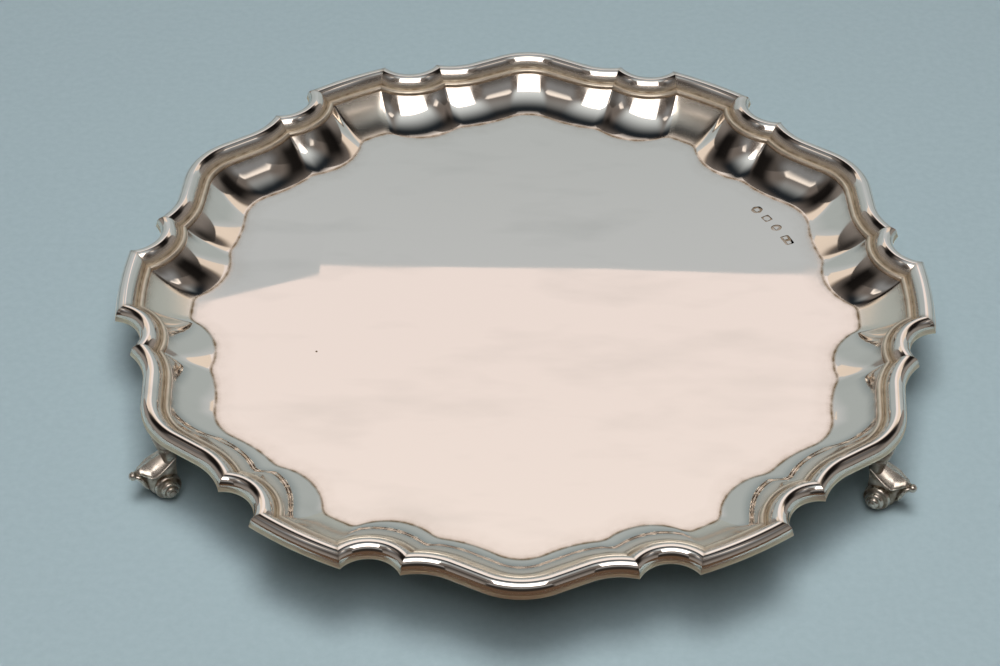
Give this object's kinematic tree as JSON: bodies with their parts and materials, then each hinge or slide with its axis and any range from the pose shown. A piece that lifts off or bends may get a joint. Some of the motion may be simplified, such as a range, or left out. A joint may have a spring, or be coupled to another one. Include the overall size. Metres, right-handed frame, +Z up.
{
  "type": "salver",
  "caption": "Shallow silver salver: a flat polished well, a raised cove and a shaped pie-crust border of mitred moulding, standing on cast scroll feet.",
  "frame": {"origin": "on the surface that the feet stand on, under the middle of the tray", "axes": "+Z up; +X out through the middle of one straight run of the rim; one foot stands in the +Y direction"},
  "size_m": [0.254, 0.2615, 0.0297],
  "materials": {
    "tray": "polished",
    "border": "polished",
    "feet": "polished"
  },
  "bodies": {
    "root": {"salver_plate": "tray", "border_straight_1": "border", "border_straight_2": "border", "border_straight_3": "border", "border_straight_4": "border", "border_straight_5": "border", "border_straight_6": "border", "border_ogee_1": "border", "border_ogee_2": "border", "border_ogee_3": "border", "border_ogee_4": "border", "border_ogee_5": "border", "border_ogee_6": "border", "border_scallop_1": "border", "border_scallop_2": "border", "border_scallop_3": "border", "border_scallop_4": "border", "border_scallop_5": "border", "border_scallop_6": "border", "border_scallop_7": "border", "border_scallop_8": "border", "border_scallop_9": "border", "border_scallop_10": "border", "border_scallop_11": "border", "border_scallop_12": "border", "foot_1": "feet", "foot_2": "feet", "foot_3": "feet"}
  },
  "joints": []
}
